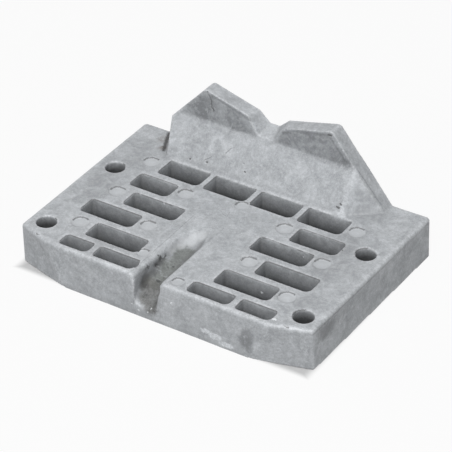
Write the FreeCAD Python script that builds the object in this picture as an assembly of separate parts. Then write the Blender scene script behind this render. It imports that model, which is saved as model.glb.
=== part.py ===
import FreeCAD, Part
import math
import os

# Sacrificial anode: one zinc casting. Millimetres, +Z up, front towards -Y.
# The origin is on the foot face, at the centre of the plate.

# Plate: its width is taken at the front corners, and each side flares out towards the back
plate_width = 140.2
plate_depth = 100.4
plate_thickness = 19.5
side_flare = 1.95
side_draft = 0.6
rim_round = 1.5
back_corner_round = 1.9
side_corner_round = 1.5
face_corner_round = 9.0

# Front corners, cut off more at the foot than at the top face
top_cut_across = 17.0
top_cut_back = 5.4
foot_cut_across = 25.0
foot_cut_back = 6.9

# Screw holes, placed from the sides and the front
hole_radius = 4.2
hole_mouth = 0.45
hole_side_inset = 8.1
hole_front_inset = 12.2
hole_spacing_y = 50.0

# Through slots: rows are placed from the front, slot starts from the middle, outer ends from the sides
slot_corner = 2.6
slot_tight_corner = 1.1
slot_mouth = 0.4
slot_width = 9.7
front_slot_width = 6.8
back_slot_width = 11.4
front_row_place = 6.1
first_row_place = 18.1
row_pitch = 13.7
back_row_to_fin = 1.1
inner_slot_start = 18.7
inner_slot_side_wall = 26.2
inner_row_shift = 0.9
outer_slot_start = 30.3
outer_slot_side_wall = 14.6
short_slot_left_wall = 21.0
short_slot_right_wall = 18.5
back_slot_side_wall = 25.2
back_rib = 3.1
back_row_shift = 0.8
front_slot_start = 13.3
front_rib = 3.6
front_rib_side_wall = 37.8
front_row_shift = 0.4

# Shallow round ejector marks on the top face, placed from the middle and the front
mark_radius = 3.7
small_mark_radius = 2.7
mark_depth = 0.6
mark_pairs = [(51.2, 74.2), (24.5, 60.7), (50.2, 47.0), (24.6, 32.4), (50.0, 19.7)]
middle_mark_x = 0.5
middle_mark_place = 65.9
middle_mark_radius = 3.2
small_marks = [(-15.2, 15.1), (7.8, 5.5)]

# Front channel: a round scoop whose floor turns down to a steep mouth, narrower at its foot
channel_middle = -3.85
channel_width = 11.7
scoop_reach = 44.5
tip_reach = 11.0
tip_depth = 4.4
scoop_depth = 7.8
scoop_round = 5.0
mouth_reach = 9.5
mouth_depth = 14.6
mouth_round = 3.5
mouth_narrowing = 1.7

# The channel's rim: a sloping band along its left edge and a narrower one along its right edge
rim_depth = 0.8
left_band = 2.5
right_band = 1.2
rim_reach = 39.5
rim_fade = 7.0

# Fin along the back edge: a sloping foot with two upright lobes on it
lobe_middle_x = -4.0
fin_foot_depth = 19.4
fin_foot_height = 17.4
lobe_thickness = 8.5
lobe_draft = 0.4
left_peak_x = -34.7
left_peak_height = 32.5
right_peak_x = 28.0
right_peak_height = 31.5
left_kink_x = -57.2
left_kink_height = 8.4
right_foot_x = 53.5
lobe_middle_height = 23.6
peak_round = 2.2
left_side_x = -48.0
left_side_facing = 207.8
left_side_lean = 6.7
right_facet_x = 39.5
right_facet_facing = -50.4
right_facet_lean = 25.3

# Notch between the lobes: half width and height of its floor, and how far its walls spread per mm of height
notch_front_half = 4.0
notch_back_half = 2.4
notch_front_height = 17.8
notch_back_height = 21.2
notch_front_spread = 0.61
notch_back_spread = 1.08
notch_floor_round = 1.8
shoulder_round = 2.0

# How far a cutter reaches past the face it leaves by
overrun = 6.0
touch = 0.001


def vector(x, y, z):
    return FreeCAD.Vector(x, y, z)


def at_height(z):
    return lambda u, v: vector(u, v, z)


def at_depth(y):
    return lambda u, v: vector(u, y, v)


def rounded_loop(corners, place):
    """A closed wire through flat corners (u, v, radius); place turns (u, v) into a point."""
    count = len(corners)
    turns = []
    for index, (u, v, radius) in enumerate(corners):
        before = corners[index - 1]
        after = corners[(index + 1) % count]
        here = vector(u, v, 0)
        if radius == 0:
            turns.append((here, None, here))
            continue
        back = (vector(before[0], before[1], 0) - here).normalize()
        ahead = (vector(after[0], after[1], 0) - here).normalize()
        half_turn = back.getAngle(ahead) / 2
        reach = radius / math.tan(half_turn)
        inward = (back + ahead).normalize()
        heart = here + inward * (radius / math.sin(half_turn))
        turns.append((here + back * reach, heart - inward * radius, here + ahead * reach))
    edges = []
    for index, (first, middle, last) in enumerate(turns):
        start = place(first.x, first.y)
        end = place(last.x, last.y)
        if middle is not None:
            edges.append(Part.Arc(start, place(middle.x, middle.y), end).toShape())
        onward = turns[(index + 1) % count][0]
        edges.append(Part.LineSegment(end, place(onward.x, onward.y)).toShape())
    return Part.Wire(edges)


def prism_across(points, left, width):
    """A side outline (y, z) carried across the part from its left place."""
    wire = Part.makePolygon([vector(left, y, z) for y, z in points + points[:1]])
    return Part.Face(wire).extrude(vector(width, 0, 0))


def edges_where(shape, test):
    """The edges whose two ends and middle all pass the test."""
    chosen = []
    for edge in shape.Edges:
        middle = edge.valueAt((edge.FirstParameter + edge.LastParameter) / 2)
        if all(test(point) for point in [vertex.Point for vertex in edge.Vertexes] + [middle]):
            chosen.append(edge)
    return chosen


def cut_beyond(shape, point, facing, lean):
    """Takes away what lies outside a plane; facing is its outward bearing, lean its tilt up."""
    size = 4 * plate_width
    level = math.cos(math.radians(lean))
    outward = vector(
        math.cos(math.radians(facing)) * level,
        math.sin(math.radians(facing)) * level,
        math.sin(math.radians(lean)),
    )
    block = Part.makeBox(size, size, size)
    block.translate(vector(-size / 2, -size / 2, 0))
    turn = FreeCAD.Placement(point, FreeCAD.Rotation(vector(0, 0, 1), outward))
    block.Placement = turn.multiply(block.Placement)
    return shape.cut(block)


def plate_outline(grow, cut_across, cut_back, z):
    """The plate seen from above, at one height."""
    side = plate_width / 2 + grow
    back = plate_depth / 2 + grow
    corners = [
        (-side - side_flare, back, back_corner_round),
        (-side, -back + cut_back, side_corner_round),
        (-side + cut_across, -back, face_corner_round),
        (side - cut_across, -back, face_corner_round),
        (side, -back + cut_back, side_corner_round),
        (side + side_flare, back, back_corner_round),
    ]
    return rounded_loop(corners, at_height(z))


def plate():
    foot = plate_outline(side_draft, foot_cut_across, foot_cut_back, 0)
    top = plate_outline(0, top_cut_across, top_cut_back, plate_thickness)
    body = Part.makeLoft([foot, top], True, True)
    rim = edges_where(body, lambda point: abs(point.z - plate_thickness) < touch)
    return body.makeFillet(rim_round, rim)


def trough(back_end, floor, turn_round, narrowing):
    """A round-bottomed cutter above a sloping floor; narrowing moves the foot of its right wall in."""
    front_end = -plate_depth / 2 - overrun
    foot = floor(front_end)
    tall = 2 * (plate_thickness + overrun)
    left = channel_middle - channel_width / 2
    right_foot = channel_middle + channel_width / 2 - narrowing
    corners = [
        (left, foot, turn_round),
        (right_foot, foot, turn_round),
        (right_foot + tall * narrowing / mouth_depth, foot + tall, 0),
        (left, foot + tall, 0),
    ]
    way = vector(0, back_end - front_end, floor(back_end) - foot)
    return Part.Face(rounded_loop(corners, at_depth(front_end))).extrude(way)


def channel_rims():
    """The sloping bands along the channel's two long edges, fading out behind the scoop."""
    top = plate_thickness
    front_end = -plate_depth / 2 - overrun
    fade_start = -plate_depth / 2 + rim_reach
    fade_end = fade_start + rim_fade
    left = channel_middle - channel_width / 2
    right = channel_middle + channel_width / 2
    outline = [
        (left, top - rim_depth),
        (right, top - rim_depth),
        (right + 2 * right_band, top + rim_depth),
        (left - 2 * left_band, top + rim_depth),
    ]
    wire = Part.makePolygon([vector(x, front_end, z) for x, z in outline + outline[:1]])
    rims = Part.Face(wire).extrude(vector(0, fade_end - front_end, 0))
    side_view = [
        (front_end, top - rim_depth),
        (fade_start, top - rim_depth),
        (fade_end, top),
        (fade_end, top + rim_depth),
        (front_end, top + rim_depth),
    ]
    return rims.common(prism_across(side_view, -plate_width / 2, plate_width))


def channel():
    """The space that the front channel takes out of the plate."""
    front = -plate_depth / 2
    top = plate_thickness
    scoop_end = front + scoop_reach
    tip_slope = tip_depth / tip_reach
    scoop_slope = (scoop_depth - tip_depth) / (scoop_reach - tip_reach - mouth_reach)
    mouth_slope = (mouth_depth - scoop_depth) / mouth_reach
    mouth_end = front + mouth_depth / mouth_slope

    def tip_floor(y):
        return top - (scoop_end - y) * tip_slope

    def scoop_floor(y):
        return top - tip_depth - (scoop_end - tip_reach - y) * scoop_slope

    def mouth_floor(y):
        return top - mouth_depth + (y - front) * mouth_slope

    tip = trough(scoop_end + overrun, tip_floor, scoop_round, 0)
    scoop = trough(scoop_end + overrun, scoop_floor, scoop_round, 0).common(tip)
    mouth = trough(mouth_end + overrun, mouth_floor, mouth_round, mouth_narrowing)
    return scoop.fuse([mouth, channel_rims()])


def slot_prism(left, right, y, width, grow, z, height):
    """A block with the slot's rounded outline, grown all round."""
    wide = slot_corner + grow
    tight = slot_tight_corner + grow
    near = y - width / 2 - grow
    far = y + width / 2 + grow
    corners = [
        (left - grow, near, tight),
        (right + grow, near, wide),
        (right + grow, far, tight),
        (left - grow, far, tight),
    ]
    return Part.Face(rounded_loop(corners, at_height(z))).extrude(vector(0, 0, height))


def slot_cutter(left, right, y, width):
    """A through slot with a small bevel round its mouth."""
    mouth_foot = plate_thickness - slot_mouth
    walls = slot_prism(left, right, y, width, 0, -overrun, plate_thickness + overrun)
    mouth = slot_prism(left, right, y, width, slot_mouth, mouth_foot, 2 * slot_mouth)
    low = edges_where(mouth, lambda point: abs(point.z - mouth_foot) < touch)
    return walls.fuse(mouth.makeChamfer(slot_mouth, low))


def slot_rows(short_wall):
    """One half's slots as (start, end, y, width, shift), measured outwards from the middle."""
    front = -plate_depth / 2
    side = plate_width / 2
    rows = [front + first_row_place + row_pitch * step for step in range(4)]
    back_row = plate_depth / 2 - fin_foot_depth - back_row_to_fin - back_slot_width / 2
    back_start = back_rib / 2
    back_end = side - back_slot_side_wall
    back_length = (back_end - back_start - back_rib) / 2
    front_row = front + front_row_place
    front_inner_end = side - front_rib_side_wall
    return [
        (back_start, back_start + back_length, back_row, back_slot_width, back_row_shift),
        (back_end - back_length, back_end, back_row, back_slot_width, back_row_shift),
        (outer_slot_start, side - short_wall, rows[3], slot_width, 0),
        (inner_slot_start, side - inner_slot_side_wall, rows[2], slot_width, inner_row_shift),
        (outer_slot_start, side - outer_slot_side_wall, rows[1], slot_width, 0),
        (inner_slot_start, side - inner_slot_side_wall, rows[0], slot_width, inner_row_shift),
        (front_slot_start, front_inner_end, front_row, front_slot_width, front_row_shift),
        (front_inner_end + front_rib, side - short_wall, front_row, front_slot_width, front_row_shift),
    ]


def slots():
    cutters = []
    for start, end, y, width, shift in slot_rows(short_slot_left_wall):
        cutters.append(slot_cutter(shift - end, shift - start, y, width))
    for start, end, y, width, shift in slot_rows(short_slot_right_wall):
        cutters.append(slot_cutter(shift + start, shift + end, y, width))
    return cutters


def hole_cutter(x, y):
    """A plain screw hole with a small bevelled mouth."""
    bore = Part.makeCylinder(hole_radius, plate_thickness + overrun, vector(x, y, -overrun))
    mouth_foot = vector(x, y, plate_thickness - hole_mouth)
    return bore.fuse(Part.makeCone(hole_radius, hole_radius + 2 * hole_mouth, 2 * hole_mouth, mouth_foot))


def holes():
    across = plate_width / 2 - hole_side_inset
    front_row = -plate_depth / 2 + hole_front_inset
    return [hole_cutter(x, y) for x in (-across, across) for y in (front_row, front_row + hole_spacing_y)]


def mark_cutter(x, place, radius):
    foot = vector(x, -plate_depth / 2 + place, plate_thickness - mark_depth)
    return Part.makeCylinder(radius, mark_depth + overrun, foot)


def marks():
    cutters = [mark_cutter(middle_mark_x, middle_mark_place, middle_mark_radius)]
    for x, place in mark_pairs:
        cutters.append(mark_cutter(-x, place, mark_radius))
        cutters.append(mark_cutter(x, place, mark_radius))
    for x, place in small_marks:
        cutters.append(mark_cutter(x, place, small_mark_radius))
    return cutters


def fin_front_view():
    """The fin seen from the front: two peaks, with the top sloping down from each to the middle."""
    top = plate_thickness
    foot = top - overrun
    left_run = (left_peak_x - left_kink_x) / (left_peak_height - left_kink_height)
    right_run = (right_foot_x - right_peak_x) / right_peak_height
    corners = [
        (left_kink_x - (left_kink_height + overrun) * left_run, foot, 0),
        (right_foot_x + overrun * right_run, foot, 0),
        (right_peak_x, top + right_peak_height, peak_round),
        (lobe_middle_x, top + lobe_middle_height, 0),
        (left_peak_x, top + left_peak_height, peak_round),
    ]
    return Part.Face(rounded_loop(corners, at_depth(0))).extrude(vector(0, plate_depth, 0))


def fin_side_view():
    """The fin seen from the side: a slope up to the foot of the lobes, then their near upright front."""
    top = plate_thickness
    back = plate_depth / 2
    foot = top - overrun
    sky = top + left_peak_height + overrun
    points = [
        (back - fin_foot_depth, foot),
        (back - fin_foot_depth, top),
        (back - lobe_thickness, top + fin_foot_height),
        (back - lobe_thickness + lobe_draft, sky),
        (back - lobe_draft, sky),
        (back, top),
        (back, foot),
    ]
    return prism_across(points, -plate_width / 2, plate_width)


def notch_loop(share):
    """The notch's outline at a share of the way through the lobes, 0 at their front and 1 at their back."""
    def between(front, back):
        return front + share * (back - front)
    y = plate_depth / 2 - lobe_thickness * (1 - share)
    half = between(notch_front_half, notch_back_half)
    floor = plate_thickness + between(notch_front_height, notch_back_height)
    rise = left_peak_height
    high = half + rise * between(notch_front_spread, notch_back_spread)
    corners = [
        (lobe_middle_x - half, floor, notch_floor_round),
        (lobe_middle_x + half, floor, notch_floor_round),
        (lobe_middle_x + high, floor + rise, 0),
        (lobe_middle_x - high, floor + rise, 0),
    ]
    return rounded_loop(corners, at_depth(y))


def fin():
    """The fin, with rounded shoulders beside the notch."""
    top = plate_thickness
    back = plate_depth / 2
    foot_line = back - fin_foot_depth
    left_foot = vector(left_side_x, foot_line, top)
    right_foot = vector(right_facet_x, foot_line, top)
    body = fin_side_view().common(fin_front_view())
    body = cut_beyond(body, left_foot, left_side_facing, left_side_lean)
    body = cut_beyond(body, right_foot, right_facet_facing, right_facet_lean)
    before = -0.5
    beyond = 1.5
    body = body.cut(Part.makeLoft([notch_loop(before), notch_loop(beyond)], True, True))
    spread = notch_front_half + lobe_thickness
    shoulders = [
        edge for edge in edges_where(body, lambda point: point.z > top + notch_back_height + touch)
        if abs(edge.Vertexes[0].Y - edge.Vertexes[-1].Y) > lobe_thickness / 2
        and abs(edge.CenterOfMass.x - lobe_middle_x) < spread
    ]
    return body.makeFillet(shoulder_round, shoulders)


def anode():
    body = plate().fuse(fin())
    return body.cut([channel()] + slots() + holes() + marks()).removeSplitter()


os.makedirs("parts", exist_ok=True)
anode().exportStep("parts/anode_casting.step")
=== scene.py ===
# %% [markdown]
# # A sacrificial anode
# The real object is one zinc die casting that is screwed under a boat, where it corrodes in place of the
# metal beside it. The frame already holds its solid with the right sizes. This lesson gives that solid the
# skin of a real casting: soft edges, a slightly uneven face, pits, dents, stains and worn corners, with
# painted shade and painted highlights in its colour as well.

# %% Load the frame
import math
from dataclasses import dataclass

import bmesh
import bpy
import numpy as np
from mathutils import Matrix, Vector, kdtree, noise


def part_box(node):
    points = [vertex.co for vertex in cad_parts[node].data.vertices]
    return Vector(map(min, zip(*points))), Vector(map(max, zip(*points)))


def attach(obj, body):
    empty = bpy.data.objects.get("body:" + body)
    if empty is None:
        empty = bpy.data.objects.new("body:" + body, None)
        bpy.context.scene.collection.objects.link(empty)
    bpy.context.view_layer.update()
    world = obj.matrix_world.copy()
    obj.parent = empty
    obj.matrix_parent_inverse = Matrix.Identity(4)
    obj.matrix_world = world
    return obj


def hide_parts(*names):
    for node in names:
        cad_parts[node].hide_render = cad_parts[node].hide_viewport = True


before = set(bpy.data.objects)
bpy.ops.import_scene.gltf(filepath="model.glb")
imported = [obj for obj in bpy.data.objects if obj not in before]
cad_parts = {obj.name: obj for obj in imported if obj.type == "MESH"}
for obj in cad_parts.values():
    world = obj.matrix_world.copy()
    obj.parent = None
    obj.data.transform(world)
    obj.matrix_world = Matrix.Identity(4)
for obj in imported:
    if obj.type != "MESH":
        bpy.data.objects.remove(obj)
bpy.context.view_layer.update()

MM = 0.001
CASTING = "anode_casting"
foot_corner, top_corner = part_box(CASTING)
print("casting box in mm:", [round(value / MM, 1) for value in (*foot_corner, *top_corner)])

# %% [markdown]
# ## Places on the casting
# Stains, painted shades, painted highlights and dents are put where the photograph shows them, so they need
# places in the part's own frame.
# They could be picked by eye in the viewport. Here they are written in millimetres from the centre of the
# foot face, and the plate's top height comes from the front edge, which has only the plate under it.

# %% Heights and edges of the plate and the fin
def top_height_near_front():
    """The plate's top is the highest point of the front half."""
    heights = [vertex.co.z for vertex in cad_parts[CASTING].data.vertices if vertex.co.y < 0]
    return max(heights)


PLATE_TOP = top_height_near_front()
FRONT = foot_corner.y
BACK = top_corner.y
SIDE = top_corner.x
print("plate top at mm:", round(PLATE_TOP / MM, 2))


def spot(x, y, z):
    """A place on the casting, given in millimetres."""
    return Vector((x, y, z)) * MM

# %% [markdown]
# ## Camera
# The photograph was taken from the front right and from above, with a long lens. A camera is placed by its
# bearing, its height angle and its distance from the middle of the plate's top. The middle sits a little
# left of the picture's centre, so the camera looks slightly past it, which needs no lens shift.

# %% The camera at the photograph's angle
PHOTO_SIDE = 452
FOCAL_PIXELS = 2037.15
SENSOR_WIDTH = 36.0
BEARING = math.radians(32.412)
HEIGHT_ANGLE = math.radians(33.970)
DISTANCE = 846.5 * MM
MIDDLE_PIXEL = (220.88, 222.73)
PICTURE_MIDDLE = -0.3 * MM
FARTHEST_SEEN = 20


def camera_back(bearing, height_angle):
    """The direction from the object to the camera."""
    level = math.cos(height_angle)
    return Vector((math.sin(bearing) * level, -math.cos(bearing) * level, math.sin(height_angle)))


def make_camera():
    target = Vector((0, PICTURE_MIDDLE, PLATE_TOP))
    back = camera_back(BEARING, HEIGHT_ANGLE)
    turn = back.to_track_quat("Z", "Y")
    right = turn @ Vector((1, 0, 0))
    up = turn @ Vector((0, 1, 0))
    metres_per_pixel = DISTANCE / FOCAL_PIXELS
    across = (PHOTO_SIDE / 2 - MIDDLE_PIXEL[0]) * metres_per_pixel
    down = (PHOTO_SIDE / 2 - MIDDLE_PIXEL[1]) * metres_per_pixel
    aim = target + right * across - up * down
    data = bpy.data.cameras.new("photo_camera")
    data.sensor_width = SENSOR_WIDTH
    data.lens = FOCAL_PIXELS / PHOTO_SIDE * SENSOR_WIDTH
    data.clip_end = FARTHEST_SEEN
    camera = bpy.data.objects.new("photo_camera", data)
    place = target + back * DISTANCE
    facing = (place - aim).to_track_quat("Z", "Y")
    camera.matrix_world = Matrix.Translation(place) @ facing.to_matrix().to_4x4()
    bpy.context.scene.collection.objects.link(camera)
    bpy.context.scene.camera = camera
    return camera


camera = make_camera()
print("camera lens in mm:", round(camera.data.lens, 1))

# %% [markdown]
# ## The casting's blank
# A die casting has no sharp edge: each one is rounded by the mould, the cooling metal and the tumbling
# drum. Bevelling hundreds of edges one by one would leave the crossings to be mended by hand. Here the
# solid is copied, its loose triangles are merged into one closed skin, and a fine voxel remesh turns it
# into even small squares, which can be smoothed and dented like clay.

# %% A merged copy of the solid
SAME_POINT = 0.0005 * MM


def merged_copy(node, name):
    mesh = bpy.data.meshes.new(name)
    skin = bmesh.new()
    skin.from_mesh(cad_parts[node].data)
    bmesh.ops.remove_doubles(skin, verts=skin.verts, dist=SAME_POINT)
    open_edges = sum(1 for edge in skin.edges if not edge.is_manifold)
    skin.to_mesh(mesh)
    skin.free()
    mesh.materials.clear()
    piece = bpy.data.objects.new(name, mesh)
    bpy.context.scene.collection.objects.link(piece)
    print("merged faces:", len(mesh.polygons), "open edges:", open_edges)
    return piece


casting = merged_copy(CASTING, "zinc_casting")

# %% Even small squares all over
VOXEL = 0.4 * MM


def settle(piece):
    """Makes the modifiers' result the piece's own mesh."""
    bpy.context.view_layer.update()
    graph = bpy.context.evaluated_depsgraph_get()
    mesh = bpy.data.meshes.new_from_object(piece.evaluated_get(graph))
    piece.modifiers.clear()
    piece.data = mesh
    return mesh


remesh = casting.modifiers.new("even_squares", "REMESH")
remesh.mode = "VOXEL"
remesh.voxel_size = VOXEL
blank = settle(casting)
print("squares in the blank:", len(blank.polygons))

# %% [markdown]
# ## Soft edges and an uneven face
# Smoothing each point towards its neighbours rounds every sharp edge a little and leaves flat faces
# flat. After it, slow noise sinks the faces by a tenth of a millimetre or so, as a casting does when it
# cools. Everything moves inwards, so the casting never grows past its real size.

# %% Round the edges
EDGE_PASSES = 2
SMOOTHING = 0.5
ALL_AXES = {"use_axis_x": True, "use_axis_y": True, "use_axis_z": True}


def soften(mesh, passes):
    skin = bmesh.new()
    skin.from_mesh(mesh)
    for _ in range(passes):
        bmesh.ops.smooth_vert(skin, verts=skin.verts, factor=SMOOTHING, **ALL_AXES)
    skin.to_mesh(mesh)
    skin.free()


soften(blank, EDGE_PASSES)
print("smoothing passes over the whole skin:", EDGE_PASSES)


def corners_of(mesh):
    """All points of a mesh as rows of x, y and z."""
    flat = np.empty(len(mesh.vertices) * 3, np.float32)
    mesh.vertices.foreach_get("co", flat)
    return flat.reshape(-1, 3).astype(float)


def normals_of(mesh):
    flat = np.empty(len(mesh.vertices) * 3, np.float32)
    mesh.vertices.foreach_get("normal", flat)
    return flat.reshape(-1, 3).astype(float)


def put_corners(mesh, points):
    mesh.vertices.foreach_set("co", points.astype(np.float32).ravel())
    mesh.update()

# %% Sink the faces unevenly
# Each wave has the size of its bumps and its greatest depth.
WAVES = [(14 * MM, 0.16 * MM), (4.5 * MM, 0.07 * MM), (1.6 * MM, 0.025 * MM)]
WAVE_SHIFTS = (3.1, 7.7, 1.3)


def wavy(points, size, seed):
    """Smooth noise from 0 to 1 at each point, with bumps of about the given size."""
    shift = Vector([seed * step for step in WAVE_SHIFTS])
    values = [noise.noise(Vector(point) / size + shift) for point in points]
    return np.clip(np.array(values) * 0.5 + 0.5, 0, 1)


def sink(mesh, waves):
    points = corners_of(mesh)
    inward = -normals_of(mesh)
    fall = sum(depth * wavy(points, size, seed) for seed, (size, depth) in enumerate(waves, 1))
    put_corners(mesh, points + inward * fall[:, None])
    print("deepest sink in mm:", round(float(fall.max()) / MM, 3))


sink(blank, WAVES)

# %% [markdown]
# ## Softer creases and small hurts
# The crease where the fin's sloping foot turns to the right and most edges of the channel are washed out on
# the real casting, so the points near them are smoothed many times more. The crack in the left lobe and the
# pits are pressed into the skin as real dents, each a round press or a press drawn along a line.

# %% Soften the washed-out creases
# Each line has its two ends, its reach in millimetres and the number of smoothing passes.
SOFT_LINES = [
    (spot(39.0, 39.5, 34.0), spot(38.6, 30.8, 19.5), 3.6, 50),
    (spot(-46.0, 40.0, 36.0), spot(-36.0, 40.0, 36.0), 2.2, 25),
    (spot(-9.9, -48.0, 18.3), spot(-9.6, -26.0, 18.3), 3.0, 60),
    (spot(-9.6, -24.0, 18.6), spot(-9.0, -12.0, 18.6), 1.4, 12),
    (spot(2.0, -50.2, 18.5), spot(0.4, -50.7, 6.0), 2.4, 40),
    (spot(2.0, -48.0, 18.7), spot(2.0, -12.0, 18.7), 1.4, 12),
    (spot(-8.0, -40.7, 12.5), spot(0.5, -40.7, 12.5), 3.2, 30),
    (spot(-8.0, -16.7, 15.8), spot(0.5, -16.7, 15.8), 3.2, 30),
    (spot(-6.0, -7.0, 19.4), spot(-1.6, -7.0, 19.4), 1.4, 6),
]


SHORTEST_SQUARED = 1e-12


def distance_to_line(points, start, end):
    """How far each point lies from a line, or from a single place where both ends are the same."""
    start, end = np.array(start), np.array(end)
    along = end - start
    share = np.clip((points - start) @ along / max(along @ along, SHORTEST_SQUARED), 0, 1)
    return np.linalg.norm(points - (start + share[:, None] * along), axis=1)


def soften_near(mesh, lines):
    points = corners_of(mesh)
    skin = bmesh.new()
    skin.from_mesh(mesh)
    skin.verts.ensure_lookup_table()
    for start, end, reach, passes in lines:
        near = np.flatnonzero(distance_to_line(points, start, end) < reach * MM)
        chosen = [skin.verts[index] for index in near]
        for _ in range(passes):
            bmesh.ops.smooth_vert(skin, verts=chosen, factor=SMOOTHING, **ALL_AXES)
        print("softened points:", len(near))
    skin.to_mesh(mesh)
    skin.free()


soften_near(blank, SOFT_LINES)

# %% Press in the crack and the pits
CRACK = [
    spot(-33.6, 41.9, 51.0),
    spot(-32.6, 41.9, 48.6),
    spot(-31.6, 41.9, 47.2),
    spot(-31.4, 41.9, 44.6),
    spot(-30.4, 41.9, 42.6),
]
PITS = [
    (spot(-10.7, 35.2, 25.8), 0.5),
    (spot(-9.2, 33.5, 23.1), 0.7),
    (spot(-36.4, 32.1, 21.3), 0.7),
    (spot(-28.1, 32.8, 22.2), 0.9),
    (spot(38.0, 33.6, 24.0), 0.9),
    (spot(27.0, 41.8, 49.0), 1.2),
    (spot(-4.9, -39.7, 11.9), 1.3),
    (spot(-6.0, -31.1, 13.2), 0.6),
    (spot(-4.2, -29.7, 13.2), 0.7),
    (spot(-4.0, -36.8, 12.2), 0.6),
    (spot(-9.2, -31.3, 15.8), 1.3),
    (spot(-8.8, -34.7, 14.8), 1.0),
]
PIT_DEPTH = 0.35 * MM
CRACK_REACH = 0.6 * MM
CRACK_DEPTH = 0.3 * MM


def press(mesh, start, end, reach, depth):
    """Moves the points near a line inwards, most at the line itself."""
    points = corners_of(mesh)
    away = distance_to_line(points, start, end) / reach
    fall = depth * np.clip(1 - away ** 2, 0, 1) ** 2
    put_corners(mesh, points - normals_of(mesh) * fall[:, None])


for start, end in zip(CRACK, CRACK[1:]):
    press(blank, start, end, CRACK_REACH, CRACK_DEPTH)
for place, reach in PITS:
    press(blank, place, place, reach * MM, PIT_DEPTH)
print("pressed in:", len(CRACK) - 1, "crack pieces and", len(PITS), "pits")

# %% [markdown]
# ## Wear, highlights and hollows
# Raised edges of a dull casting rub bright, and their brightening here is also a painted highlight along the
# rounded edges. The casting's corners and creases keep dirt, and their darkening here is also a painted
# shade. Both follow the bend of the surface, so the bend is measured on the fine squares: how far each point
# stands out from the average of its neighbours. Spreading the measure a few times widens the band along each
# edge.

# %% Measure how each point stands out
SPREAD_PASSES = 5
HOLLOW_PASSES = 22


def neighbour_average(values, pairs, count):
    total = np.zeros_like(values)
    np.add.at(total, pairs[:, 0], values[pairs[:, 1]])
    np.add.at(total, pairs[:, 1], values[pairs[:, 0]])
    shares = count[:, None] if values.ndim == 2 else count
    return total / shares


def pairs_of(mesh):
    flat = np.empty(len(mesh.edges) * 2, np.int32)
    mesh.edges.foreach_get("vertices", flat)
    return flat.reshape(-1, 2)


def standing_out(mesh):
    points = corners_of(mesh)
    pairs = pairs_of(mesh)
    count = np.maximum(np.bincount(pairs.ravel(), minlength=len(points)), 1).astype(float)
    height = ((points - neighbour_average(points, pairs, count)) * normals_of(mesh)).sum(1) / VOXEL
    raised = np.clip(height, 0, None)
    for _ in range(SPREAD_PASSES):
        raised = neighbour_average(raised, pairs, count)
    hollow = np.clip(-height, 0, None)
    for _ in range(HOLLOW_PASSES):
        hollow = neighbour_average(hollow, pairs, count)
    return raised, hollow


raised, hollow = standing_out(blank)
print("most raised:", round(float(raised.max()), 3), "deepest hollow:", round(float(hollow.max()), 3))

# %% [markdown]
# ## Thin the mesh
# The blank's squares make three quarters of a million triangles, far more than the flat faces need. The
# Decimate modifier joins them and keeps the bends. The wear with its painted highlight and the dirt with its
# painted shade are then copied from the nearest fine point.

# %% Join triangles where the face is flat
MOST_TRIANGLES = 185000


def thin(piece, most):
    triangles = sum(len(face.vertices) - 2 for face in piece.data.polygons)
    fewer = piece.modifiers.new("fewer_triangles", "DECIMATE")
    fewer.ratio = min(1, most / triangles)
    fine = corners_of(piece.data)
    settle(piece)
    print("triangles:", triangles, "thinned to:", len(piece.data.polygons))
    return fine


fine_points = thin(casting, MOST_TRIANGLES)

# %% Copy the wear with its painted highlight and the dirt with its painted shade to the thinned mesh
WEAR_AND_HIGHLIGHT_FULL = 0.10
HOLLOW_FULL = 0.05


def copy_values(piece, name, fine_points, values, full):
    tree = kdtree.KDTree(len(fine_points))
    for index, point in enumerate(fine_points):
        tree.insert(point, index)
    tree.balance()
    nearest = [tree.find(vertex.co)[1] for vertex in piece.data.vertices]
    layer = piece.data.attributes.new(name, "FLOAT", "POINT")
    layer.data.foreach_set("value", np.clip(values[nearest] / full, 0, 1).astype(np.float32))
    print("copied", name, "to points:", len(nearest))


# the raised measure: wear on the edges, and a painted highlight along them as well
copy_values(casting, "wear_and_highlight", fine_points, raised, WEAR_AND_HIGHLIGHT_FULL)
# the hollow measure: dirt in corners and creases, and a painted shade there as well
copy_values(casting, "dirt_and_shade", fine_points, hollow, HOLLOW_FULL)

# %% [markdown]
# ## Where marks, slots and the channel lie
# The round ejector marks have pale pressed floors and a painted shade on the part of their far wall that
# faces the camera, and the slots and holes get a painted shade that darkens with depth. Such places could be
# painted on by hand. Here the height and the slope of each point say where they are, and the shares are kept
# on the mesh as attributes that the material reads.

# %% Find the floors and walls of the ejector marks
FIRST_INSIDE = FRONT + 3.4 * MM
LAST_INSIDE = BACK - 21 * MM
SIDE_INSIDE = SIDE - 12 * MM
BY_CHANNEL = (-13.2 * MM, 4.4 * MM, -1.0 * MM)
DEEPEST_MARK = (0.8 * MM, 1.0 * MM)
FLOOR_DEPTHS = (0.3 * MM, 0.5 * MM)
FLOOR_FACING = (0.75, 0.85)
WALL_DEPTHS = (0.08 * MM, 0.23 * MM)
WALL_FACING = (0.3, 0.93)
WALL_AHEAD = 0.2


def rising(values, low, high):
    """A share that climbs from 0 to 1 between two values."""
    return np.clip((values - low) / (high - low), 0, 1)


def add_share(piece, name, values):
    layer = piece.data.attributes.new(name, "FLOAT", "POINT")
    layer.data.foreach_set("value", values.astype(np.float32))
    print("points in", name, "areas:", int((values > 0.5).sum()))


def in_front_strip(points, left, right, back):
    """Picks the points between two sides, from the front edge up to a line behind it."""
    return (points[:, 0] > left) & (points[:, 0] < right) & (points[:, 1] < back)


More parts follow.
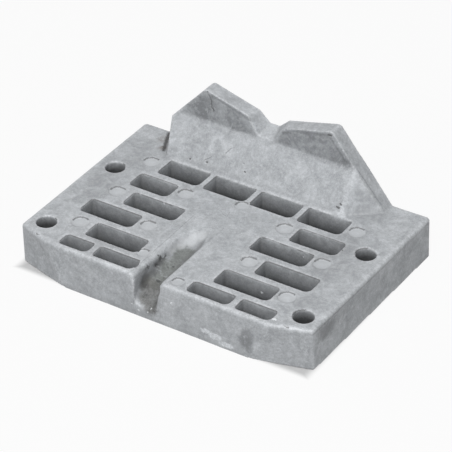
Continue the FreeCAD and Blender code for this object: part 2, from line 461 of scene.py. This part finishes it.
def mark_parts(piece):
    """Finds the floors of the shallow round presses, and the part of their walls that faces the camera.

    That part of the walls gets a painted shade.
    """
    points = corners_of(piece.data)
    facing = normals_of(piece.data)
    depth = PLATE_TOP - points[:, 2]
    ahead = facing @ np.array(camera_back(BEARING, 0))
    inside = (np.abs(points[:, 0]) < SIDE_INSIDE) & ~in_front_strip(points, *BY_CHANNEL)
    inside &= (points[:, 1] > FIRST_INSIDE) & (points[:, 1] < LAST_INSIDE)
    shallow = (1 - rising(depth, *DEEPEST_MARK)) * inside
    floor = shallow * rising(depth, *FLOOR_DEPTHS) * rising(facing[:, 2], *FLOOR_FACING)
    steep = (facing[:, 2] > WALL_FACING[0]) & (facing[:, 2] < WALL_FACING[1]) & (ahead > WALL_AHEAD)
    add_share(piece, "pressed", floor)
    # painted shade on the part of the marks' walls that faces the camera
    add_share(piece, "crescent_shade", shallow * rising(depth, *WALL_DEPTHS) * steep)


mark_parts(casting)

# %% Find how deep each point lies in a slot, a hole or the channel
SLOTS_SIDE = 67.5 * MM
SLOTS_BACK = 31 * MM
SLOTS_FRONT = -47.8 * MM
CORNER_START = 52 * MM
CORNER_SLOPE = 0.3
ABOVE_FOOT = 0.3 * MM
SLOT_DEPTHS = (1.6 * MM, 9.6 * MM)
SCREW_PLACES = [(side * MM, row * MM) for side in (-62, 62) for row in (-38, 12)]
BORE_REACH = 4.6 * MM
BORE_DEPTHS = (0.8 * MM, 4.5 * MM)
CHANNEL_STRIP = (-10.6 * MM, 3.4 * MM, -1.5 * MM)
CHANNEL_DEPTHS = (0.5 * MM, 1.3 * MM)


def mark_depths(piece):
    """Marks the walls of the slots, the holes and the channel, from 0 at the top face to 1 well inside.

    The share of the slots and holes is a painted shade that darkens with depth.
    """
    points = corners_of(piece.data)
    y, z = points[:, 1], points[:, 2]
    outwards = np.abs(points[:, 0])
    depth = PLATE_TOP - z
    front_line = SLOTS_FRONT + np.clip(outwards - CORNER_START, 0, None) * CORNER_SLOPE
    inside = (outwards < SLOTS_SIDE) & (y < SLOTS_BACK) & (y > front_line) & (z > ABOVE_FOOT)
    in_channel = in_front_strip(points, *CHANNEL_STRIP)
    depth_shade = rising(depth, *SLOT_DEPTHS) * inside * ~in_channel
    for side, row in SCREW_PLACES:
        in_bore = (np.hypot(points[:, 0] - side, y - row) < BORE_REACH) & (z > ABOVE_FOOT)
        depth_shade = np.maximum(depth_shade, rising(depth, *BORE_DEPTHS) * in_bore)
    # the share of the slots and holes is a painted shade, darker with depth
    add_share(piece, "depth_shade", depth_shade)
    add_share(piece, "channel", rising(depth, *CHANNEL_DEPTHS) * in_channel)


mark_depths(casting)

# %% Keep every point inside the real size
def keep_inside(piece, low, high):
    points = corners_of(piece.data)
    put_corners(piece.data, np.clip(points, np.array(low), np.array(high)))


keep_inside(casting, foot_corner, top_corner)
casting.data.shade_smooth()
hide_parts(CASTING)
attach(casting, "root")
print("skin points inside the real size:", len(casting.data.vertices))

# %% [markdown]
# ## Cast zinc
# Fresh cast zinc is a blue-grey metal, but it dulls within weeks to a cloudy grey with lighter and darker
# patches. One flat grey would look like plastic. The finish here is built in layers on Object coordinates:
# broad clouds, a finer mottle, specks, dirt in the hollows and the channel, painted shade in the hollows,
# slots and channel, and bright rubbed edges that also carry a painted highlight.

# %% A small helper for node trees
# It prints nothing itself: the zinc, the floor and the sky are built with it and say what they made.
class Board:
    """Adds nodes to one material or world and joins them."""

    def __init__(self, owner):
        owner.use_nodes = True
        self.tree = owner.node_tree
        self.tree.nodes.clear()

    def node(self, kind, inputs=None, **settings):
        made = self.tree.nodes.new(kind)
        for name, value in settings.items():
            setattr(made, name, value)
        for name, value in (inputs or {}).items():
            socket = made.inputs[name]
            if isinstance(value, bpy.types.NodeSocket):
                self.tree.links.new(value, socket)
            else:
                socket.default_value = value
        return made

    def noise(self, where, scale, detail=3.0, rough=0.55, warp=0.0):
        made = self.node(
            "ShaderNodeTexNoise",
            {"Vector": where, "Scale": scale, "Detail": detail, "Roughness": rough, "Distortion": warp},
        )
        return made.outputs["Fac"]

    def ramp(self, value, low, high, start=0.0, end=1.0):
        made = self.node(
            "ShaderNodeMapRange",
            {"Value": value, "From Min": low, "From Max": high, "To Min": start, "To Max": end},
            interpolation_type="SMOOTHSTEP",
        )
        return made.outputs["Result"]

    def math(self, operation, first, second):
        return self.node("ShaderNodeMath", {0: first, 1: second}, operation=operation).outputs["Value"]

    def vector(self, operation, inputs, result="Vector"):
        return self.node("ShaderNodeVectorMath", inputs, operation=operation).outputs[result]

    def mix(self, share, first, second, blend="MIX"):
        made = self.node("ShaderNodeMix", data_type="RGBA", blend_type=blend)
        colours = [socket for socket in made.inputs if socket.type == "RGBA"]
        for socket, value in ((made.inputs["Factor"], share), (colours[0], first), (colours[1], second)):
            if isinstance(value, bpy.types.NodeSocket):
                self.tree.links.new(value, socket)
            else:
                socket.default_value = value
        return next(socket for socket in made.outputs if socket.type == "RGBA")

    def away(self, where, centre, size):
        """How far a point lies from a spot's centre, where 1 is the spot's border."""
        scale = tuple(1 / value for value in size)
        shift = tuple(-place / value for place, value in zip(centre, size))
        shrunk = self.vector("MULTIPLY_ADD", {0: where, 1: scale, 2: shift})
        return self.vector("LENGTH", {0: shrunk}, "Value")

    def away_from_line(self, where, start, end, reach):
        """How far a point lies from a line, where 1 is the border of the band round it."""
        along = end - start
        step = self.vector("SUBTRACT", {0: where, 1: tuple(start)})
        part = self.vector("DOT_PRODUCT", {0: step, 1: tuple(along / along.length_squared)}, "Value")
        held = self.node("ShaderNodeClamp", {"Value": part}).outputs["Result"]
        foot = self.vector("SCALE", {0: tuple(along), "Scale": held})
        return self.math("DIVIDE", self.vector("DISTANCE", {0: step, 1: foot}, "Value"), reach)

    def nearest(self, distances):
        found = distances[0]
        for other in distances[1:]:
            found = self.math("MINIMUM", found, other)
        return found


def grey(value, warm=0.0):
    """A grey in linear light, a little warmer or cooler than neutral."""
    return (value * (1 + warm), value, value * (1 - warm), 1)

# %% [markdown]
# ### The plain tone of the metal
# Up close, dull zinc is a mix of sizes: clouds a centimetre wide, patches, a mottle of a few millimetres,
# flecks and a fine grain. Each is one noise, and each makes some places darker or lighter. After them come
# the tones that follow the shape: pressed floors, a painted shade that darkens the slots with depth, dirty
# hollows that also carry a painted shade, rubbed edges that also carry a painted highlight, and a painted
# shade on the marks' far walls.

# %% Noises and layers of tone
# Each noise has its scale, detail, roughness and warp.
NOISES = {
    "clouds": (75, 4, 0.6, 0.6),
    "patches": (150, 3, 0.6, 1.0),
    "mottle": (300, 5, 0.75, 0.4),
    "flecks": (900, 4, 0.8, 0.0),
    "grain": (2100, 3, 0.8, 0.0),
}
CLOUD_TONES = (grey(0.415, -0.016), grey(0.455, -0.012))
CLOUD_BORDERS = (0.34, 0.68)

# Each layer has its noise, two values of that noise, the layer's share at the two, and its colour.
TONE_LAYERS = [
    (("patches", 0.34, 0.54, 0.5, 0.0), grey(0.28, -0.016)),
    (("patches", 0.50, 0.68, 0.0, 0.45), grey(0.60, -0.010)),
    (("mottle", 0.36, 0.66, 0.35, 0.0), grey(0.33, -0.016)),
    (("mottle", 0.46, 0.68, 0.0, 0.55), grey(0.54, -0.010)),
    (("flecks", 0.30, 0.52, 0.42, 0.0), grey(0.24, -0.01)),
    (("flecks", 0.52, 0.72, 0.0, 0.5), grey(0.64, -0.01)),
    (("grain", 0.34, 0.56, 0.24, 0.0), grey(0.24)),
    (("grain", 0.50, 0.70, 0.0, 0.20), grey(0.66)),
]

# Each tone that follows the shape has its attribute, its noise layer or none, its colour and its strength.
SHAPE_TONES = [
    ("pressed", None, grey(0.64, -0.01), 0.6),
    # painted shade: the walls of the slots and holes darker with depth
    ("depth_shade", None, grey(0.03), 0.92),
    # dirt in the hollows, together with a painted shade in corners and creases
    ("dirt_and_shade", ("mottle", 0.3, 0.62, 0.5, 1.0), grey(0.15, 0.02), 0.6),
    # rubbed edges, together with a painted highlight along the rounded edges
    ("wear_and_highlight", ("flecks", 0.40, 0.58, 0.25, 1.0), grey(0.70), 0.75),
    # painted shade on the far walls of the ejector marks, where they face the camera
    ("crescent_shade", None, grey(0.10, 0.02), 0.75),
]
print("layers of plain tone:", len(TONE_LAYERS), "and tones that follow the shape:", len(SHAPE_TONES))

# %% [markdown]
# ### Stains, painted shades and highlights, rubs and scratches
# A used casting carries the marks of its life: grime in the corner of the channel, a brown stain beside the
# fin, and scratches where it was knocked. Beside them come a painted highlight on the scoop and painted
# shades where less light falls. Each kind is a short list of spots or lines in millimetres, placed where the
# photograph shows them. Most of them are drawn on a shaken coordinate, so that no border is a clean circle
# or a straight line.

# %% What a painted mark is
# Each shaken coordinate has the scale of its noise and how far it moves a point.
SHAKES = {"ragged": (900, 1.8 * MM), "shaky": (700, 0.9 * MM), "torn": (380, 6.0 * MM)}


@dataclass
class PaintedMark:
    """One kind of painted mark: a stain, a painted shade or a painted highlight.

    A spot is a centre and three reaches, a line two ends and a reach, all in mm.
    """

    places: list
    colour: tuple
    strength: float
    core: float = 0.55
    shape: str = "ragged"
    broken: tuple = None
    inside: str = None


print("shaken coordinates:", ", ".join(SHAKES))

# %% Broad painted shades under everything else
# painted shade: broad darker areas on the top's margins and right part and on the fin's right facet
TOP_SHADE = [
    (spot(52.0, 2.0, 19.0), (20.0, 32.0, 3.0)),
    (spot(50.0, 38.0, 26.0), (12.0, 8.0, 15.0)),
    (spot(60.0, -30.0, 19.0), (10.0, 12.0, 3.0)),
    (spot(-60.0, 8.0, 19.0), (12.0, 40.0, 3.0)),
    (spot(-30.0, -36.0, 19.0), (22.0, 8.0, 3.0)),
]
# painted shade laid under all other tones
GROUND_PAINTED_SHADE = [
    PaintedMark(TOP_SHADE, grey(0.26, -0.01), 0.62, 0.2, "torn", ("patches", 0.36, 0.66, 1.0, 0.45)),
]
print("broad shades:", len(TOP_SHADE))

# %% Stains, painted shades and a painted highlight of the channel
MOSS = [
    (spot(-4.8, -22.0, 14.8), (6.5, 6.5, 6.0)),
    (spot(-4.8, -31.0, 13.4), (6.5, 8.5, 6.0)),
    (spot(-5.4, -39.5, 12.2), (6.0, 5.5, 5.0)),
]
# painted shade on the deeper part of the channel's left wall
WALL_SHADE = [
    (spot(-9.6, -41.6, 11.5), (3.0, 5.2, 7.5)),
    (spot(-9.6, -34.0, 15.0), (2.4, 6.0, 3.2)),
    (spot(-9.0, -38.0, 13.0), (2.6, 5.0, 4.0)),
]
# painted highlight on the scoop's curved floor near the channel's tip
SCOOP_HIGHLIGHT = [
    (spot(-2.8, -9.8, 17.6), (3.2, 3.8, 4.0)),
    (spot(-5.6, -13.6, 16.8), (3.2, 4.8, 4.0)),
    (spot(-8.0, -18.0, 16.6), (2.4, 5.0, 3.8)),
    (spot(-9.0, -23.0, 17.0), (2.0, 4.6, 3.2)),
]
# painted shade along the channel's right wall
RIGHT_WALL_SHADE_LINES = [
    (spot(-0.4, -14.0, 16.6), spot(-1.8, -22.0, 14.8), 2.4),
    (spot(-1.8, -22.0, 14.8), spot(-1.8, -38.0, 12.4), 2.4),
]
MOUTH_SOIL = [
    (spot(-6.4, -43.4, 10.0), (6.5, 5.0, 7.0)),
    (spot(-2.4, -44.0, 9.0), (5.0, 5.6, 6.0)),
    (spot(-5.6, -46.8, 7.6), (5.0, 4.6, 5.6)),
    (spot(-2.0, -49.0, 6.0), (5.0, 4.0, 5.0)),
]
GRIME = [
    (spot(-9.1, -31.2, 15.9), (1.6, 2.6, 1.9)),
    (spot(-8.8, -34.7, 14.8), (1.3, 2.2, 1.6)),
    (spot(-9.8, -32.2, 18.0), (1.0, 1.6, 1.2)),
    (spot(-9.1, -29.0, 15.9), (1.1, 1.8, 1.4)),
    (spot(-8.5, -43.7, 10.6), (1.8, 2.4, 2.8)),
    (spot(-7.3, -46.1, 8.2), (1.6, 2.0, 2.2)),
    (spot(-9.8, -39.8, 17.0), (0.8, 3.4, 1.0)),
]
MOSS_TONE = (0.115, 0.121, 0.107, 1)
SOIL_TONE = (0.088, 0.085, 0.077, 1)
SPECKLE = ("flecks", 0.36, 0.60, 1.0, 0.8)
# real stains of the channel together with its painted shades and painted highlight
CHANNEL_STAINS_AND_PAINTED_LIGHT = [
    PaintedMark(MOSS, MOSS_TONE, 0.85, 0.5, "torn", SPECKLE, "channel"),
    PaintedMark(WALL_SHADE, grey(0.11), 0.8, 0.2, inside="channel"),
    PaintedMark(SCOOP_HIGHLIGHT, grey(0.58), 0.45, 0.5, inside="channel"),
    PaintedMark(RIGHT_WALL_SHADE_LINES, grey(0.12, 0.02), 0.5, 0.1, inside="channel"),
    PaintedMark(MOUTH_SOIL, SOIL_TONE, 0.88, 0.5, broken=SPECKLE, inside="channel"),
    PaintedMark(GRIME, grey(0.05, 0.03), 0.8, 0.1, "torn", inside="channel"),
]
print("kinds of stain in the channel:", len(CHANNEL_STAINS_AND_PAINTED_LIGHT))

# %% Stains, rubs and painted shades of the fin and the outer faces
# painted shade on the lobes' front faces
LOBE_SHADE = [
    (spot(-37.0, 42.0, 43.0), (17.0, 1.2, 9.5)),
    (spot(-22.0, 42.0, 40.5), (12.0, 1.2, 6.5)),
    (spot(21.0, 42.0, 42.0), (16.0, 1.2, 8.0)),
    (spot(33.0, 42.0, 40.0), (8.0, 1.2, 7.0)),
    (spot(7.0, 42.0, 41.0), (9.0, 1.2, 5.0)),
]
# painted shade lines under the lobes' top edges and down the right lobe's side
LOBE_SHADE_LINES = [
    (spot(4.5, 42.1, 42.6), spot(10.5, 42.1, 45.8), 1.2),
    (spot(10.5, 42.1, 45.8), spot(26.5, 42.1, 48.6), 1.3),
    (spot(26.5, 42.1, 48.6), spot(35.0, 42.1, 38.5), 0.9),
    (spot(-12.0, 42.1, 44.0), spot(-31.0, 42.1, 49.8), 1.1),
    (spot(40.0, 43.0, 36.0), spot(52.0, 44.0, 21.5), 0.7),
]
BROWN = [
    (spot(-57.5, 42.0, 19.5), (3.4, 4.5, 2.0)),
    (spot(-53.5, 36.0, 19.5), (3.2, 3.0, 2.0)),
]
DARK_FACES = [
    (spot(43.5, -50.6, 8.5), (4.6, 2.0, 8.5)),
    (spot(70.2, -34.0, 14.0), (3.0, 9.0, 5.5)),
]
SCRAPES = [
    (spot(24.5, -50.7, 5.2), (3.0, 1.5, 1.3)),
    (spot(29.0, -50.7, 4.2), (4.0, 1.5, 1.9)),
    (spot(34.6, -50.7, 2.2), (4.0, 1.5, 1.5)),
]
FIN_RUB = [
    (spot(39.2, 33.0, 23.0), (1.4, 3.6, 4.4)),
    (spot(38.0, 31.2, 20.4), (3.4, 1.4, 1.6)),
]
BROWN_TONE = (0.17, 0.14, 0.115, 1)
# real stains and rubs together with the painted shade of the lobes
FACE_STAINS_AND_PAINTED_SHADE = [
    PaintedMark(LOBE_SHADE, grey(0.20, -0.01), 0.65, 0.5, "torn", ("patches", 0.36, 0.62, 1.0, 0.4)),
    PaintedMark(LOBE_SHADE_LINES, grey(0.12), 0.4, 0.1),
    PaintedMark(BROWN, BROWN_TONE, 0.75, 0.2, "torn", ("mottle", 0.36, 0.60, 0.0, 1.0)),
    PaintedMark(DARK_FACES, grey(0.18, -0.01), 0.7, 0.3, "torn"),
    PaintedMark(SCRAPES, grey(0.68, -0.01), 0.85, 0.6, broken=("flecks", 0.40, 0.62, 0.4, 1.4)),
    PaintedMark(FIN_RUB, grey(0.64, -0.01), 0.45, 0.2, "torn"),
]
print("kinds of stain on the fin and the outer faces:", len(FACE_STAINS_AND_PAINTED_SHADE))

# %% Scratches, cracks, painted highlights and painted shade lines
# painted highlights along the rounded corner edges of the front face and the corner facets
EDGE_HIGHLIGHT_STREAKS = [
    (spot(-54.4, -49.6, 18.4), spot(-45.6, -50.7, 1.0), 0.6),
    (spot(-49.0, -50.4, 16.6), spot(-39.2, -50.7, 1.6), 0.55),
    (spot(-50.5, -50.0, 12.0), spot(-43.6, -50.7, 3.4), 0.8),
    (spot(-60.5, -47.6, 10.0), spot(-56.5, -48.6, 4.0), 0.6),
    (spot(53.0, -50.0, 17.5), spot(50.6, -50.4, 11.0), 0.7),
    (spot(50.6, -50.3, 10.5), spot(46.0, -50.7, 2.4), 0.7),
    (spot(56.6, -49.4, 12.0), spot(53.6, -50.2, 4.0), 0.8),
    (spot(67.4, -45.2, 15.0), spot(67.6, -45.0, 2.5), 0.6),
    (spot(61.5, -46.9, 16.0), spot(62.5, -46.7, 8.0), 0.8),
]
DARK_SCRATCHES = [
    (spot(-4.0, 6.4, 19.5), spot(-0.4, 4.8, 19.5), 0.25),
    (spot(-0.4, 4.8, 19.5), spot(-1.2, 8.4, 19.5), 0.25),
    (spot(-29.5, 33.0, 22.6), spot(-26.4, 34.4, 24.6), 0.35),
    (spot(-49.0, 41.6, 35.0), spot(-41.0, 40.0, 31.5), 0.4),
    (spot(-20.4, 36.0, 27.5), spot(-18.6, 37.4, 30.0), 0.35),
]
# painted shade lines along the creases of the channel's rims and the plate's right rim
CREASE_SHADE_LINES = [
    (spot(-11.9, -49.0, 19.3), spot(-12.6, -1.0, 19.5), 0.38),
    (spot(3.2, -34.0, 19.5), spot(3.2, -3.0, 19.5), 0.25),
    (spot(69.9, -44.0, 17.6), spot(72.4, 47.0, 17.4), 0.6),
]
# painted shade along the crease between the front face and the channel's left wall
CHANNEL_EDGE_SHADE = [(spot(-10.0, -50.4, 18.6), spot(-9.9, -50.7, 5.0), 0.45)]
FIN_SHADOW = [(spot(-57.6, 47.5, 19.5), spot(-51.8, 34.6, 19.5), 1.5)]
CRACK_WIDTH = 0.6
CRACK_LINES = [(start, end, CRACK_WIDTH) for start, end in zip(CRACK, CRACK[1:])]
# scratches and the crack together with painted highlights, painted shade lines and the painted shadow
LINE_STAINS_AND_PAINTED_LIGHT = [
    PaintedMark(EDGE_HIGHLIGHT_STREAKS, grey(0.66, -0.01), 0.4, 0.1, "torn"),
    PaintedMark(DARK_SCRATCHES, grey(0.16), 0.6, 0.3, "shaky"),
    PaintedMark(CREASE_SHADE_LINES, grey(0.16), 0.4, 0.1, "plain"),
    PaintedMark(CHANNEL_EDGE_SHADE, grey(0.10), 0.7, 0.1, "plain"),
    PaintedMark(FIN_SHADOW, grey(0.03, 0.05), 0.85, 0.2),
    PaintedMark(CRACK_LINES, grey(0.07), 0.8, 0.3, "shaky"),
]
print("kinds of drawn line:", len(LINE_STAINS_AND_PAINTED_LIGHT))

# %% Small dark and white dots
BLACK_DOTS = [
    (spot(-4.9, -39.7, 11.9), (1.3, 0.9, 1.2)),
    (spot(-6.0, -31.1, 13.2), (0.6, 0.6, 0.6)),
    (spot(-4.2, -29.7, 13.2), (0.7, 0.6, 0.7)),
    (spot(-4.0, -36.8, 12.2), (0.6, 0.6, 0.6)),
    (spot(38.0, 33.2, 23.4), (0.9, 0.9, 0.9)),
    (spot(37.2, 32.4, 22.2), (1.1, 0.8, 0.8)),
    (spot(-9.2, 33.5, 23.1), (0.6, 0.6, 0.6)),
    (spot(-28.1, 32.8, 22.2), (0.9, 0.6, 0.5)),
    (spot(-36.4, 32.1, 21.3), (0.6, 0.6, 0.6)),
    (spot(27.0, 41.8, 49.0), (1.6, 1.0, 0.7)),
    (spot(-10.7, 35.2, 25.8), (0.4, 0.4, 0.4)),
    (spot(52.4, 9.5, 19.5), (0.5, 0.5, 0.5)),
]
WHITE_DOTS = [
    (spot(-7.5, -50.6, 2.9), (0.6, 0.6, 0.6)),
    (spot(-2.9, -50.7, 3.5), (0.5, 0.5, 0.5)),
    (spot(-11.1, -50.7, 4.8), (0.5, 0.5, 0.5)),
    (spot(-1.9, -49.8, 5.3), (0.4, 0.4, 0.4)),
    (spot(53.0, -45.8, 19.4), (1.8, 0.8, 0.9)),
    (spot(-28.7, 0.2, 18.6), (0.6, 0.6, 0.9)),
    (spot(39.4, 0.2, 16.5), (0.5, 0.5, 0.5)),
    (spot(36.5, -27.2, 14.1), (0.8, 0.4, 0.6)),
    (spot(8.4, -50.6, 12.3), (0.9, 0.6, 0.6)),
    (spot(-2.2, 41.2, 40.2), (0.6, 0.8, 0.5)),
]
DOT_STAINS = [
    PaintedMark(BLACK_DOTS, grey(0.05, 0.03), 0.8),
    PaintedMark(WHITE_DOTS, grey(0.78), 0.85),
]
# all stains together with the painted shades and painted highlights
TOP_STAINS_AND_PAINTED_LIGHT = CHANNEL_STAINS_AND_PAINTED_LIGHT + FACE_STAINS_AND_PAINTED_SHADE + LINE_STAINS_AND_PAINTED_LIGHT + DOT_STAINS
print("kinds of stain:", len(GROUND_PAINTED_SHADE + TOP_STAINS_AND_PAINTED_LIGHT))

# %% [markdown]
# ### The zinc material
# The layers could each be a material of their own, but then their borders would be hard. Here every layer is
# a share and a colour, mixed over the tone below it, and the finished tone goes into one rough, slightly
# metallic shader. A cool cast turns the greys a little blue, as zinc is.

# %% The board of the zinc material
class Zinc(Board):
    """The board of the zinc material, with its coordinates and noises."""

    def __init__(self, material):
        super().__init__(material)
        plain = self.node("ShaderNodeTexCoord").outputs["Object"]
        self.shapes = {"plain": plain}
        for name, (scale, reach) in SHAKES.items():
            self.shapes[name] = self.shaken(plain, scale, reach)
        self.noises = {name: self.noise(plain, *settings) for name, settings in NOISES.items()}

    def shaken(self, where, scale, reach):
        settings = {"Vector": where, "Scale": scale, "Detail": 3.0, "Roughness": 0.7}
        shake = self.node("ShaderNodeTexNoise", settings).outputs["Color"]
        push = self.vector("SUBTRACT", {0: shake, 1: (0.5, 0.5, 0.5)})
        return self.vector("ADD", {0: where, 1: self.vector("SCALE", {0: push, "Scale": reach})})

    def attribute(self, name):
        return self.node("ShaderNodeAttribute", attribute_name=name).outputs["Fac"]

    def layer(self, noise_name, low, high, start, end):
        """A share that goes from start to end while the named noise goes from low to high."""
        return self.ramp(self.noises[noise_name], low, high, start, end)

    def paint(self, tone, share, colour, strength):
        return self.mix(self.math("MULTIPLY", share, strength), tone, colour)

    def share_of(self, painted_mark):
        """How strongly a painted mark covers each point: 1 in the core of each of its places, 0 past the
        border.
        """
        where = self.shapes[painted_mark.shape]
        gaps = []
        for first, second, *reach in painted_mark.places:
            if reach:
                gaps.append(self.away_from_line(where, first, second, reach[0] * MM))
            else:
                gaps.append(self.away(where, first, [value * MM for value in second]))
        share = self.ramp(self.nearest(gaps), painted_mark.core, 1.0, 1.0, 0.0)
        if painted_mark.broken:
            share = self.math("MULTIPLY", share, self.layer(*painted_mark.broken))
        if painted_mark.inside:
            share = self.math("MULTIPLY", share, self.attribute(painted_mark.inside))
        return share

    def paint_marks(self, tone, painted_marks):
        for painted_mark in painted_marks:
            tone = self.paint(tone, self.share_of(painted_mark), painted_mark.colour, painted_mark.strength)
        return tone

# %% The finished tone
COOL_CAST = (0.975, 1.0, 1.03, 1)


def zinc_tone(board):
    tone = board.mix(board.layer("clouds", *CLOUD_BORDERS, 0.0, 1.0), *CLOUD_TONES)
    for layer, colour in TONE_LAYERS:
        tone = board.mix(board.layer(*layer), tone, colour)
    tone = board.paint_marks(tone, GROUND_PAINTED_SHADE)
    for name, layer, colour, strength in SHAPE_TONES:
        share = board.attribute(name)
        if layer:
            share = board.math("MULTIPLY", share, board.layer(*layer))
        tone = board.paint(tone, share, colour, strength)
    tone = board.paint_marks(tone, TOP_STAINS_AND_PAINTED_LIGHT)
    return board.mix(1.0, tone, COOL_CAST, "MULTIPLY")

# %% The zinc material
METALLIC = 0.15
SPECULAR = 0.3
DULL_ROUGHNESS = 0.64
SMOOTH_ROUGHNESS = 0.5
ROUGH_BORDERS = (0.3, 0.7)
MOTTLE_BUMP = {"Strength": 0.3, "Distance": 0.2 * MM}
FLECK_BUMP = {"Strength": 0.35, "Distance": 0.08 * MM}


def zinc_material():
    material = bpy.data.materials.new("cast_zinc")
    board = Zinc(material)
    broad = board.node("ShaderNodeBump", {"Height": board.noises["mottle"], **MOTTLE_BUMP})
    small = {"Height": board.noises["flecks"], "Normal": broad.outputs["Normal"], **FLECK_BUMP}
    shader = board.node(
        "ShaderNodeBsdfPrincipled",
        {
            "Base Color": zinc_tone(board),
            "Metallic": METALLIC,
            "Specular IOR Level": SPECULAR,
            "Roughness": board.layer("clouds", *ROUGH_BORDERS, DULL_ROUGHNESS, SMOOTH_ROUGHNESS),
            "Normal": board.node("ShaderNodeBump", small).outputs["Normal"],
        },
    )
    board.node("ShaderNodeOutputMaterial", {"Surface": shader.outputs["BSDF"]})
    return material


casting.data.materials.clear()
casting.data.materials.append(zinc_material())
print("zinc on", casting.name, "with", len(casting.data.materials[0].node_tree.nodes), "nodes")

# %% [markdown]
# ## Floor, sky and lamps
# The photograph is a plain studio shot on white. A pale floor catches a soft shadow, a white sky lights the
# casting evenly from all round, and a large lamp at the front right with a weaker one above it gives the
# faces their different tones.

# %% What camera, glossy and transmission rays see
def seen_directly(board):
    """1 for the rays that see the plain white, and 0 for the rays that carry light to the casting."""
    path = board.node("ShaderNodeLightPath")
    seen = board.math("MAXIMUM", path.outputs["Is Camera Ray"], path.outputs["Is Glossy Ray"])
    return board.math("MAXIMUM", seen, path.outputs["Is Transmission Ray"])

# %% A pale floor
FLOOR_REACH = 3.0
FLOOR_GAP = 0.05 * MM
FLOOR_TONE = grey(0.5)
FLOOR_SELF_LIGHT = 0.93
GLOW_BORDERS = (0.93, 1.0)


def outside_casting(board):
    """0 under the casting, whose slots the floor's glow must not light, and 1 all round it."""
    where = board.node("ShaderNodeTexCoord").outputs["Object"]
    shrunk = board.vector("DIVIDE", {0: where, 1: (SIDE, BACK, 1.0)})
    sides = board.node("ShaderNodeSeparateXYZ", {0: shrunk})
    across = board.math("ABSOLUTE", sides.outputs["X"], 0.0)
    along = board.math("ABSOLUTE", sides.outputs["Y"], 0.0)
    return board.ramp(board.math("MAXIMUM", across, along), *GLOW_BORDERS)


def floor_material():
    material = bpy.data.materials.new("pale_floor")
    board = Board(material)
    paint = board.node("ShaderNodeBsdfDiffuse", {"Color": FLOOR_TONE}).outputs["BSDF"]
    glow = board.node("ShaderNodeEmission", {"Color": grey(1.0), "Strength": 1.0}).outputs["Emission"]
    share = board.math("MULTIPLY", seen_directly(board), outside_casting(board))
    share = board.math("MULTIPLY", share, FLOOR_SELF_LIGHT)
    both = board.node("ShaderNodeMixShader", {0: share, 1: paint, 2: glow})
    board.node("ShaderNodeOutputMaterial", {"Surface": both.outputs["Shader"]})
    return material


def make_floor():
    mesh = bpy.data.meshes.new("studio_floor")
    sheet = bmesh.new()
    bmesh.ops.create_grid(sheet, x_segments=1, y_segments=1, size=FLOOR_REACH)
    bmesh.ops.translate(sheet, verts=sheet.verts, vec=(0, 0, -FLOOR_GAP))
    sheet.to_mesh(mesh)
    sheet.free()
    mesh.materials.append(floor_material())
    floor = bpy.data.objects.new("studio_floor", mesh)
    bpy.context.scene.collection.objects.link(floor)
    print("floor sheet in metres across:", 2 * FLOOR_REACH)


make_floor()

# %% A white sky
SKY_LIGHT = 0.17


def make_sky():
    world = bpy.data.worlds.new("white_sky")
    bpy.context.scene.world = world
    board = Board(world)
    strength = board.ramp(seen_directly(board), 0.0, 1.0, SKY_LIGHT, 1.0)
    sky = board.node("ShaderNodeBackground", {"Color": grey(1.0), "Strength": strength})
    board.node("ShaderNodeOutputWorld", {"Surface": sky.outputs["Background"]})
    print("sky light:", SKY_LIGHT)


make_sky()

# %% Two large soft lamps
LAMP_DISTANCE = 1.2


def make_lamp(name, bearing, height_angle, size, watts):
    """Hangs a round lamp over the plate's middle, at a bearing and a height angle in degrees."""
    data = bpy.data.lights.new(name, "AREA")
    data.shape = "DISK"
    data.size = size
    data.energy = watts
    lamp = bpy.data.objects.new(name, data)
    back = camera_back(math.radians(bearing), math.radians(height_angle))
    place = Vector((0, 0, PLATE_TOP)) + back * LAMP_DISTANCE
    lamp.matrix_world = Matrix.Translation(place) @ back.to_track_quat("Z", "Y").to_matrix().to_4x4()
    bpy.context.scene.collection.objects.link(lamp)
    print(name, "of", watts, "watts")


make_lamp("front_lamp", bearing=24, height_angle=46, size=0.7, watts=10.6)
make_lamp("top_lamp", bearing=-20, height_angle=80, size=0.9, watts=6.2)
bpy.context.scene.view_settings.view_transform = "Standard"
